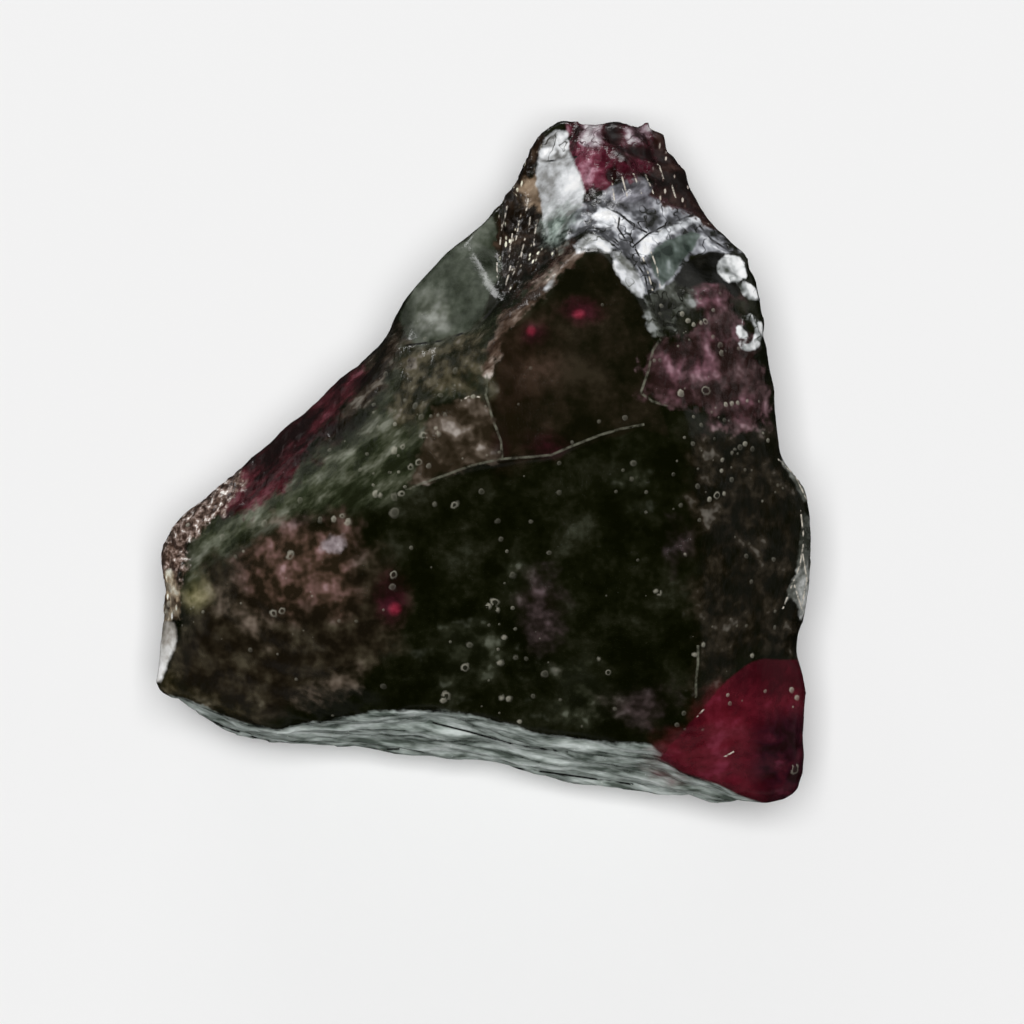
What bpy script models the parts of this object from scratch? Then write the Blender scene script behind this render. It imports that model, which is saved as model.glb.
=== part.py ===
"""Rough painite, one natural crystal fragment lying on its broad back fracture.

The stone is a thick wedge with a knob at its +Y end, a sharp left end at -X and a blunt lower right corner.
Its front is a relief of hand-placed ridges, its back a cut-in underside that narrows to a flat resting face.
Both reliefs share the girdle, the outline that is seen from above. +Z is up, and the origin is at the middle of
the bounding box, on the resting face.
"""

import math

import bmesh
import bpy
from mathutils import Vector, geometry, noise

MM = 0.001  # the stone is worked in millimetres and scaled to metres at the end
NAME = "painite_crystal"

GRAIN = 0.1  # grid on which the facets are fused into one skin
FACETS = 7600  # triangles that the finished stone may have
RESTING_TRIM = 0.03  # how much of the underside the flat resting face takes off, in mm

SWELL_HEIGHT, SWELL_LENGTH = 0.07, 2.3  # broad unevenness of the broken faces
CHIP_HEIGHT, CHIP_LENGTH = 0.012, 0.6  # small chips on every face
KNOB_LUMP_HEIGHT, KNOB_LUMP_LENGTH = 0.24, 0.42
STRIP_LUMP_HEIGHT, STRIP_LUMP_LENGTH = 0.15, 0.3
RIPPLE_CENTRE, RIPPLE_RADIUS, RIPPLE_PITCH, RIPPLE_HEIGHT = (-3.8, -1.5), 2.95, 0.55, 0.024
GROOVE_HEIGHT, GROOVE_LENGTH, GROOVE_PITCH = 0.1, 1.9, 0.26
TERRACE_HEIGHT, TERRACE_PITCH = 0.07, 0.3
SHELL_RIDGES = (((5.5, 4.15), (0.6, 0.8), 0.55), ((5.85, 2.75), (0.85, 0.5), 0.5))  # centre, run, radius
SHELL_HEIGHT, SHELL_PITCH = 0.09, 0.27

# All the points below are in millimetres: across, up the stone, and height above the resting face.
# The girdle runs clockwise from the left foot of the knob.
GIRDLE = {
    "knob": [
        (0.7, 6.15, 4.6), (0.85, 6.45, 4.6), (0.95, 6.75, 4.6), (1.1, 7.05, 4.6), (1.35, 7.3, 4.5),
        (1.7, 7.5, 4.4), (2, 7.55, 4.4), (2.3, 7.45, 4.5), (2.6, 7.4, 4.4), (2.95, 7.5, 4.4),
        (3.25, 7.4, 4.5), (3.45, 7.45, 4.4), (3.7, 7.4, 4.4), (3.9, 7.15, 4.4), (4.1, 6.85, 4.3),
        (4.2, 6.6, 4.3), (4.4, 6.3, 4.3),
    ],
    "right edge": [
        (4.55, 5.95, 4.7), (4.75, 5.55, 4.8), (5, 5.2, 4.9), (5.3, 4.9, 5), (5.6, 4.55, 5.2),
        (5.8, 4.3, 5.3), (5.95, 3.85, 5.3), (6.05, 3.35, 5.3), (6.15, 2.75, 5.3), (6.2, 2.2, 5.4),
        (6.35, 1.5, 5.4), (6.35, 0.9, 5.4), (6.4, 0.45, 5.4), (6.45, 0.1, 5.3),
    ],
    "right hip and its notch": [
        (6.65, -0.15, 5.1), (6.85, -0.35, 5.1), (7, -0.65, 5.1), (7.1, -1.1, 5.1), (7.15, -1.65, 5.1),
        (7.15, -2.15, 5), (7.1, -2.8, 4.9), (7.05, -3.5, 4.8), (6.9, -3.9, 4.7), (6.9, -4.25, 4.6),
    ],
    "red corner": [
        (7, -4.55, 4.8), (7.1, -5.05, 4.7), (7.05, -5.6, 4.6), (7, -6, 4.5), (7.05, -6.4, 4.5),
        (7, -6.9, 4.4), (6.9, -7.25, 4.3), (6.65, -7.4, 4.2), (6.25, -7.5, 4.1), (5.65, -7.5, 3.8),
    ],
    "lower edge": [
        (4.8, -7.45, 2.4), (3.8, -7.35, 2.3), (2.6, -7.15, 2.2), (1.7, -7.05, 2.2), (0.8, -6.85, 2.2),
        (-0.05, -6.65, 2.2), (-0.95, -6.55, 2.2), (-1.85, -6.45, 2.2), (-2.95, -6.35, 2.2),
        (-4.05, -6.3, 2.3), (-4.95, -6.15, 2.4), (-5.65, -6, 2.6), (-6.15, -5.7, 2.9), (-6.45, -5.4, 3.1),
    ],
    "left end": [
        (-6.7, -5.25, 4.55), (-7.05, -5.1, 4.55), (-7.15, -4.85, 4.55), (-7.1, -4.35, 4.45), (-7.05, -3.95, 4.45),
        (-7, -3.3, 4.45), (-6.95, -2.85, 4.55), (-7.05, -2.45, 4.55), (-7.1, -2.05, 4.55), (-7, -1.8, 4.55),
        (-6.75, -1.4, 4.65), (-6.4, -1.1, 4.75),
    ],
    "upper left edge": [
        (-5.95, -0.75, 4.65), (-5.35, -0.2, 4.75), (-4.85, 0.2, 4.75), (-4.25, 0.75, 4.85), (-3.65, 1.25, 4.85),
        (-3.05, 1.8, 4.95), (-2.7, 2.05, 4.95), (-2.3, 2.45, 5.05), (-2.05, 2.8, 5.15), (-1.9, 3.15, 5.25),
        (-1.7, 3.5, 5.35), (-1.4, 3.9, 5.35), (-1.1, 4.2, 5.45), (-0.75, 4.55, 5.45), (-0.4, 4.8, 5.45),
        (0, 5.1, 5.45), (0.3, 5.45, 5.45), (0.5, 5.8, 5.25),
    ],
}

FRONT_RIDGES = {
    "lower edge of the ledge": [
        (-1.6, -0.65, 6.8), (-0.25, -0.2, 6.92), (1.45, 0.05, 7.05), (2.55, 0.4, 7.08), (3.4, 0.7, 7.05),
    ],
    "upper edge of the ledge": [
        (-1.6, -0.65, 6.8), (-1.65, -0.5, 6.92), (-0.25, -0.12, 7.07), (1.45, 0.13, 7.22), (2.55, 0.48, 7.16),
        (3.4, 0.7, 7.05),
    ],
    "left flank of the raised face": [
        (0.15, 1.4, 7.3), (0.05, 1.95, 7.25), (0.2, 2.5, 7.2), (0.5, 3.05, 7.1), (1.15, 3.5, 7),
        (1.65, 4.05, 6.9), (2.1, 4.45, 6.8),
    ],
    "right flank of the raised face": [
        (2.1, 4.45, 6.8), (2.55, 4.45, 6.8), (3, 3.95, 6.85), (3.4, 3.35, 6.9), (3.65, 2.8, 6.9),
        (3.6, 2.15, 6.95), (3.4, 1.45, 7), (3.4, 0.7, 7.05),
    ],
    "rib down the raised face": [(0.15, 1.4, 7.3), (0.35, 0.45, 7.25), (0.45, 0.02, 7.22)],
    "edge of the brown shelf": [
        (-1.65, -0.5, 6.92), (-1.25, 0.45, 6.98), (-1.15, 1.15, 7), (-0.55, 1.3, 7.05), (0.05, 1.3, 7.2),
        (0.15, 1.4, 7.3),
    ],
    "foot of the brown shelf": [(-0.5, 1.45, 6.9), (0, 1.45, 7.1)],
    "chipped arch": [
        (2.1, 4.45, 6.8), (1.95, 4.6, 6.55), (2.4, 4.8, 6.5), (2.85, 4.55, 6.5), (3.2, 4.15, 6.5),
        (3.55, 3.65, 6.6), (3.75, 3.05, 6.7), (3.65, 2.8, 6.9),
    ],
    "right ridge of the dark face": [
        (3.4, 0.7, 7.05), (4.45, 0.4, 6.9), (4.55, -1.3, 6.8), (4.65, -3, 6.6), (4.7, -4.2, 6.35),
        (4.9, -5.2, 5.85),
    ],
    "brow over the lower flank": [
        (3.85, -6.35, 5.45), (2.55, -6.1, 5.55), (1.25, -5.95, 5.6), (-0.05, -5.6, 5.75),
        (-0.95, -5.45, 5.8), (-1.9, -5.5, 5.7), (-3, -5.6, 5.3), (-4, -5.75, 5), (-4.55, -5.85, 4.9),
        (-5.1, -5.75, 4.8), (-5.6, -5.55, 4.75), (-6.15, -5.35, 4.7), (-6.55, -5.05, 4.7),
        (-6.7, -5.25, 4.55),
    ],
    "left end, inner edge": [(-6.55, -5.05, 4.7), (-6.6, -3.9, 4.85), (-6.55, -3.05, 5), (-6.5, -1.75, 4.95)],
    "brow over the upper left flank": [
        (-6.5, -1.75, 4.95), (-5.9, -1.25, 5.15), (-4.95, -0.55, 5.35), (-3.7, 0.45, 5.6), (-2.9, 1.2, 5.75),
        (-2.15, 2, 5.85), (-1.8, 2.55, 5.85),
    ],
    "foot of the smooth green facet": [
        (-1.8, 2.55, 5.85), (-0.95, 2.6, 6.15), (-0.15, 2.85, 6.45), (0.35, 3.4, 6.5), (1, 4, 6.4),
        (1.65, 4.5, 6.4),
    ],
    "right side of the smooth green facet": [(0.3, 5.45, 5.45), (0.5, 4.55, 5.35), (0.35, 3.4, 6.5)],
    "left side of the white chip": [
        (1.45, 7.15, 4.3), (1.25, 6.45, 4.55), (1.2, 6, 4.7), (1.25, 5.55, 4.95), (1.4, 4.85, 5.75),
        (1.65, 4.5, 6.4),
    ],
    "right side of the white chip": [
        (1.8, 7.15, 4.55), (1.9, 6.65, 4.95), (2.05, 6.25, 5.25), (2.2, 5.85, 5.55), (2.1, 5.4, 5.95),
        (1.7, 4.8, 6.15), (1.95, 4.6, 6.55),
    ],
    "foot of the knob": [
        (2.2, 5.85, 5.55), (3.3, 6.1, 5.4), (3.65, 5.95, 5.4), (4.2, 6.15, 4.8), (4.4, 6.3, 4.3),
    ],
    "knob, outer crest": [
        (1.8, 7.15, 4.55), (1.95, 7, 4.7), (2.35, 7.1, 4.85), (2.95, 7.2, 4.6), (3.6, 7.15, 4.5),
        (3.95, 6.75, 4.35),
    ],
    "knob, inner crest": [(1.9, 6.65, 4.95), (2.35, 6.4, 5.45), (3, 6.6, 5.35), (3.75, 6.4, 4.85), (4.2, 6.15, 4.8)],
    "crack across the top facet": [(2.3, 5.5, 5.85), (3, 5.5, 5.75), (3.75, 5.3, 5.6), (4.85, 5.2, 5.05)],
    "green corner of the top facet": [
        (3.2, 4.15, 6.5), (3.65, 4.35, 6.2), (4.5, 4.8, 5.55), (4.5, 4.4, 5.6), (4.1, 3.8, 6.1),
        (3.65, 4.35, 6.2),
    ],
    "top facet, right": [(4.5, 4.8, 5.55), (4.85, 5.2, 5.05), (5, 5.2, 4.9)],
    "right shoulder": [
        (3.75, 3.05, 6.7), (3.85, 3.2, 6.6), (4.1, 3.8, 6.1), (4.5, 4.4, 5.6), (5.05, 4.5, 5.45),
        (5.5, 4.35, 5.3), (5.6, 4.55, 5.2),
    ],
    "mauve face, outer edge": [
        (5.5, 4.35, 5.3), (5.7, 3.4, 5.55), (5.85, 2.35, 5.7), (6, 1.3, 5.8), (5.7, 0.55, 6.05),
        (6.05, 0.45, 5.85), (6.25, -0.05, 5.7), (6.8, -0.85, 5.35), (6.85, -2.15, 5.3),
        (6.75, -3.4, 5.2), (6.65, -4.25, 5.05), (6.9, -4.25, 4.6),
    ],
    "mauve face, lower edge": [(3.4, 1.45, 7), (4.25, 1.15, 6.8), (5.7, 0.55, 6.05)],
    "mauve face, crown": [(3.85, 3.2, 6.6), (4.75, 2.5, 6.3), (5.05, 3.5, 5.9)],
    "red corner, upper edge": [
        (3.85, -6.35, 5.45), (4.5, -5.65, 5.85), (4.9, -5.2, 5.85), (5.3, -4.75, 5.75),
        (5.75, -4.4, 5.55), (6.1, -4.3, 5.4), (6.65, -4.25, 5.05),
    ],
    "red corner, outer edge": [
        (6.65, -4.25, 5.05), (6.85, -5, 4.85), (6.8, -5.7, 4.8), (6.8, -6.65, 4.65), (6.4, -7.25, 4.5),
        (5.7, -7.3, 4.35), (5.2, -7.1, 4.55), (4.5, -6.85, 4.9), (3.85, -6.35, 5.45),
    ],
}

# Single high points that keep the wide faces gently convex.
FRONT_CROWNS = {
    "dark face": [(-1.95, -5.2, 5.8), (-1.85, -3, 6.45), (-2.2, -1.5, 6.6), (1.65, -3, 6.7)],
    "raised face": [(1.65, 1.7, 7.35)],
    "green band": [
        (-3.3, -0.45, 6.25), (-1.85, 0.85, 6.6), (-0.9, 1.95, 6.7), (-4.35, -1, 5.9), (-5.4, -1.5, 5.55),
        (-6.25, -2.4, 5.1), (-0.25, 2.45, 6.85),
    ],
    "left lobe": [
        (-2.85, -1.7, 6.5), (-3.95, -2.15, 6.3), (-5.05, -2.85, 5.85), (-5.95, -3.7, 5.4),
        (-6.4, -4.45, 4.95), (-3.5, -3.9, 6.15), (-4.4, -5.1, 5.35), (-2.85, -4.75, 5.85),
    ],
    "brown strip": [(0.65, 5.15, 4.85), (1, 5.35, 4.85), (0.9, 5.9, 4.35)],
    "right side": [(5.8, -2.15, 6), (5.7, -5.75, 5.35)],
}

BACK_RIDGES = {
    "waist": [
        (1.25, 6.65, 1.9), (3.8, 6.5, 1.8), (5.4, 3.9, 1.7), (6, 0.7, 1.9), (6.75, -1.85, 2),
        (6.65, -5.05, 1.5), (6.25, -7.15, 1.2), (2.6, -6.85, 0.9), (-0.95, -6.3, 0.9), (-4.5, -6, 1.1),
        (-6.55, -5.05, 1.5), (-6.75, -3.05, 1.5), (-6.5, -1.65, 1.6), (-4.3, 0.3, 1.8), (-2.4, 2.1, 1.9),
        (-1.2, 3.85, 2), (0.35, 5.3, 2), (1.25, 6.65, 1.9),
    ],
    "edge of the resting face": [
        (1.8, 5.5, 0), (3.3, 5.3, 0), (4.4, 3.4, 0), (5.15, 0.7, 0), (6, -1.75, 0), (5.85, -4.65, 0),
        (5.6, -6.55, 0), (2.6, -6.45, 0), (-0.75, -5.95, 0), (-4.1, -5.6, 0), (-5.9, -4.7, 0),
        (-5.85, -3.1, 0), (-5.1, -1.5, 0), (-3.45, 0, 0), (-1.65, 1.7, 0), (-0.3, 3.3, 0), (0.7, 4.6, 0),
        (1.8, 5.5, 0),
    ],
}


def clear_scene():
    for obj in list(bpy.data.objects):
        bpy.data.objects.remove(obj, do_unlink=True)


def relief(girdle, ridges, crowns):
    """Triangles through the ridge lines, inside the girdle: (points, faces), with the girdle's points first."""
    points = list(girdle)
    edges = [(i, (i + 1) % len(girdle)) for i in range(len(girdle))]
    index = {point[:2]: i for i, point in enumerate(points)}

    def add(point):
        if point[:2] not in index:
            index[point[:2]] = len(points)
            points.append(point)
        return index[point[:2]]

    for ridge in ridges.values():
        ends = [add(point) for point in ridge]
        edges += [(a, b) for a, b in zip(ends, ends[1:]) if a != b]
    for group in crowns.values():
        for point in group:
            add(point)
    flat = [Vector(point[:2]) for point in points]
    loop = list(reversed(range(len(girdle))))
    found, _, faces, sources, _, inside = geometry.delaunay_2d_cdt(flat, edges, [loop], 1, 1e-4)
    if len(found) != len(points):
        raise ValueError("two ridge lines cross or share a place without sharing a point")
    order = [source[0] for source in sources]
    return points, [[order[i] for i in face] for face, owners in zip(faces, inside) if owners]


def rough_block():
    """The front and the back relief, joined along the girdle."""
    girdle = [point for stretch in GIRDLE.values() for point in stretch]
    front, front_faces = relief(girdle, FRONT_RIDGES, FRONT_CROWNS)
    back, back_faces = relief(girdle, BACK_RIDGES, {})
    extra = len(front) - len(girdle)
    points = front + back[len(girdle):]
    back_faces = [[i if i < len(girdle) else i + extra for i in reversed(face)] for face in back_faces]
    mesh = bpy.data.meshes.new(NAME)
    mesh.from_pydata(points, [], front_faces + back_faces)
    stone = bpy.data.objects.new(NAME, mesh)
    work = bmesh.new()
    work.from_mesh(mesh)
    bmesh.ops.recalc_face_normals(work, faces=work.faces)
    work.to_mesh(mesh)
    work.free()
    return stone


def use_modifier(stone, kind, **settings):
    bpy.ops.object.select_all(action="DESELECT")
    stone.select_set(True)
    bpy.context.view_layer.objects.active = stone
    modifier = stone.modifiers.new(kind.title(), kind)
    for name, value in settings.items():
        setattr(modifier, name, value)
    bpy.ops.object.modifier_apply(modifier=modifier.name)


def within(x, y, box, fade):
    """1 inside the box (low x, low y, high x, high y), falling to 0 over the fade outside it."""
    out = max(box[0] - x, x - box[2], box[1] - y, y - box[3], 0.0)
    return max(0.0, 1.0 - out / fade)


def lumps(place, length, seed):
    """Rounded lumps with sharp valleys between them, from -0.5 to 0.5."""
    near = noise.voronoi((place + Vector((seed, 0, 0))) / length)[0]
    return 0.5 - min(1.0, near[0] * 1.15)


def even(place, length, seed, octaves=3):
    return noise.fractal((place + Vector((0, seed, 0))) / length, 0.9, 2.1, octaves)


def knob_relief(p, normal):
    """The knob's lumps, and the smaller ones of the strip to its left."""
    if normal.z < -0.3:
        return 0.0
    knob = within(p.x, p.y, (1.9, 6.2, 4.5, 8), 0.35)
    strip = within(p.x, p.y, (0.3, 4.6, 1.15, 7.2), 0.25) * (1 - knob)
    return (
        knob * KNOB_LUMP_HEIGHT * (lumps(p, KNOB_LUMP_LENGTH, 3) + 0.35 * lumps(p, KNOB_LUMP_LENGTH * 0.45, 9))
        + strip * STRIP_LUMP_HEIGHT * lumps(p, STRIP_LUMP_LENGTH, 5)
    )


def conchoidal_ripples(p, normal):
    """Shell-like waves on the left lobe, as rings about the point where it was struck."""
    if normal.z < 0.3:
        return 0.0
    lobe = within(p.x, p.y, (-8, -8, -3.6, -3.4), 1.3)
    wobble = 0.22 * even(p, 1.6, 21, 2)
    radius = math.hypot(p.x - RIPPLE_CENTRE[0], p.y - RIPPLE_CENTRE[1]) + wobble
    band = math.exp(-(((radius - RIPPLE_RADIUS) / 0.85) ** 2))
    wave = math.sin(2 * math.pi * radius / RIPPLE_PITCH)
    return RIPPLE_HEIGHT * lobe * band * (wave - 0.5 * wave * wave)


def flank_grooves(p, normal):
    """Long fibrous grooves that run across the lower flank."""
    if normal.y > -0.5 or p.y > -4.8 or p.x > 5.6:
        return 0.0
    place = Vector((p.x / GROOVE_LENGTH, p.y / GROOVE_LENGTH, (p.z + 0.12 * p.x) / GROOVE_PITCH))
    return GROOVE_HEIGHT * noise.fractal(place, 0.8, 2.0, 3)


def edge_terraces(p, normal):
    """Small steps along the upper left edge."""
    if normal.z < -0.1 or normal.z > 0.85 or normal.x > 0.1:
        return 0.0
    along = (p.x + p.y) / math.sqrt(2)
    across = (p.y - p.x) / math.sqrt(2)
    near = within(across, along, (3.0, -6.4, 4.6, 0.4), 0.3)
    step = (across + 0.1 * even(p, 1.0, 33, 2)) / TERRACE_PITCH
    return near * TERRACE_HEIGHT * (step - math.floor(step) - 0.5)


def shell_ridges(p, normal):
    """Two shell-shaped chips with fine ridges on the upper right edge."""
    total = 0.0
    if normal.z > -0.2:
        for (x, y), (run_x, run_y), radius in SHELL_RIDGES:
            away = math.hypot(p.x - x, p.y - y)
            if away < radius:
                wave = math.sin(2 * math.pi * ((p.x - x) * run_x + (p.y - y) * run_y) / SHELL_PITCH)
                total += SHELL_HEIGHT * wave * (1 - (away / radius) ** 2)
    return total


def weather(stone):
    """Moves each point along its normal by the relief that nature left on the facets."""
    mesh = stone.data
    normals = [vertex.normal.copy() for vertex in mesh.vertices]
    for vertex, normal in zip(mesh.vertices, normals):
        p = vertex.co
        base = 0.15 if normal.z < -0.9 else 1.0
        smooth = within(p.x, p.y, (-1.5, 3.1, 0.1, 4.7), 0.4)
        height = SWELL_HEIGHT * even(p, SWELL_LENGTH, 1) * (1 - 0.6 * smooth)
        height += CHIP_HEIGHT * (even(p, CHIP_LENGTH, 7) - 0.4 * abs(even(p, CHIP_LENGTH * 1.7, 13))) * (1 - smooth)
        height += knob_relief(p, normal) + conchoidal_ripples(p, normal) + flank_grooves(p, normal)
        height += edge_terraces(p, normal) + shell_ridges(p, normal)
        vertex.co += normal * height * base


def cut_resting_face(stone):
    """Grinds the underside flat, closes it, and puts the origin under the middle of the stone."""
    work = bmesh.new()
    work.from_mesh(stone.data)
    everything = work.verts[:] + work.edges[:] + work.faces[:]
    cut = bmesh.ops.bisect_plane(
        work, geom=everything, plane_co=(0, 0, RESTING_TRIM), plane_no=(0, 0, 1), clear_inner=True
    )
    rim = [edge for edge in cut["geom_cut"] if isinstance(edge, bmesh.types.BMEdge)]
    bmesh.ops.holes_fill(work, edges=rim)
    bmesh.ops.triangulate(work, faces=work.faces)
    low = [min(vertex.co[i] for vertex in work.verts) for i in range(3)]
    high = [max(vertex.co[i] for vertex in work.verts) for i in range(3)]
    middle = Vector(((low[0] + high[0]) / 2, (low[1] + high[1]) / 2, low[2]))
    bmesh.ops.translate(work, verts=work.verts, vec=-middle)
    bmesh.ops.scale(work, verts=work.verts, vec=(MM, MM, MM))
    work.to_mesh(stone.data)
    work.free()


def painite_material():
    material = bpy.data.materials.new("rough_painite")
    material.use_nodes = True
    surface = material.node_tree.nodes["Principled BSDF"]
    surface.inputs["Base Color"].default_value = (0.022, 0.012, 0.009, 1)
    surface.inputs["Roughness"].default_value = 0.2
    surface.inputs["IOR"].default_value = 1.8
    surface.inputs["Metallic"].default_value = 0.0
    return material


def main():
    clear_scene()
    collection = bpy.data.collections.new("rough_painite")
    bpy.context.scene.collection.children.link(collection)
    stone = rough_block()
    collection.objects.link(stone)
    use_modifier(stone, "REMESH", mode="VOXEL", voxel_size=GRAIN)
    weather(stone)
    use_modifier(stone, "SMOOTH", factor=0.35, iterations=2)
    use_modifier(stone, "DECIMATE", ratio=FACETS / (2 * len(stone.data.polygons)))
    cut_resting_face(stone)
    stone.data.materials.append(painite_material())


main()
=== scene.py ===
"""Rough painite: the looks of one dark natural crystal fragment on a pale floor, seen from straight above.

Laid out as an add-on and run as a script. The stone is one piece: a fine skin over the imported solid, with the
marks of each of its broken faces, and one glassy mineral material whose colours follow those faces.
"""

import math
from typing import NamedTuple

import bpy
import numpy as np
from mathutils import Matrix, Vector, noise


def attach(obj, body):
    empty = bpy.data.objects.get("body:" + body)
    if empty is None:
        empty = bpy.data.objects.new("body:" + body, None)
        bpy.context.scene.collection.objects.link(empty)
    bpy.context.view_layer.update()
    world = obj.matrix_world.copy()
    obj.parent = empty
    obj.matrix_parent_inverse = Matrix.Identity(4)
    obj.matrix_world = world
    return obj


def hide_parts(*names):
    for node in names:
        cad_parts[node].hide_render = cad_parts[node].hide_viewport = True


bl_info = {
    "name": "Rough painite",
    "version": (1, 0, 0),
    "blender": (4, 5, 0),
    "location": "View3D > Sidebar > Painite",
    "description": "Builds the fine skin, the mineral finish and the studio stage of a rough painite",
    "category": "Object",
}

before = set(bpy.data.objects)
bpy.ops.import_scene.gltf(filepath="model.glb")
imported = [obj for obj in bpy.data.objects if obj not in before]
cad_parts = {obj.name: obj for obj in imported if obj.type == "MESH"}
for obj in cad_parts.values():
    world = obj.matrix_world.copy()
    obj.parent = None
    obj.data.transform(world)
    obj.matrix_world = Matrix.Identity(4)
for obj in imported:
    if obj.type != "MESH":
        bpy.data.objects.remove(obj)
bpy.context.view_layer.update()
NODE = "painite_crystal"
MM = 0.001

# The stone is drawn as it is seen from above: across and down, in drawing steps of 0.022 mm at 3 mm height,
# from a lens 200 mm up. DRAWING_MIDDLE is the stone's place, in mm, under the drawing's middle step.
STEP = 0.022
LENS_UP, DRAWN_HEIGHT = 200.0, 3.0
DRAWING_MIDDLE = (0.632, -1.116)
DRAWING_HALF = 512


class Patch(NamedTuple):
    """A patch of the skin: how soft its edge is and how far it strays, in mm, its roughness and grain from 0
    to 1, and its four tones from dark to bright. Outlines and spots lie on the drawing, and a spot is round:
    across, down, half width, half height. A through patch goes on down the sides and underneath."""

    name: str
    soft: float
    ragged: float
    pattern: str
    rough: float
    grain: float
    tones: str
    outlines: tuple = ()
    spots: tuple = ()
    through: bool = False


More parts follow.
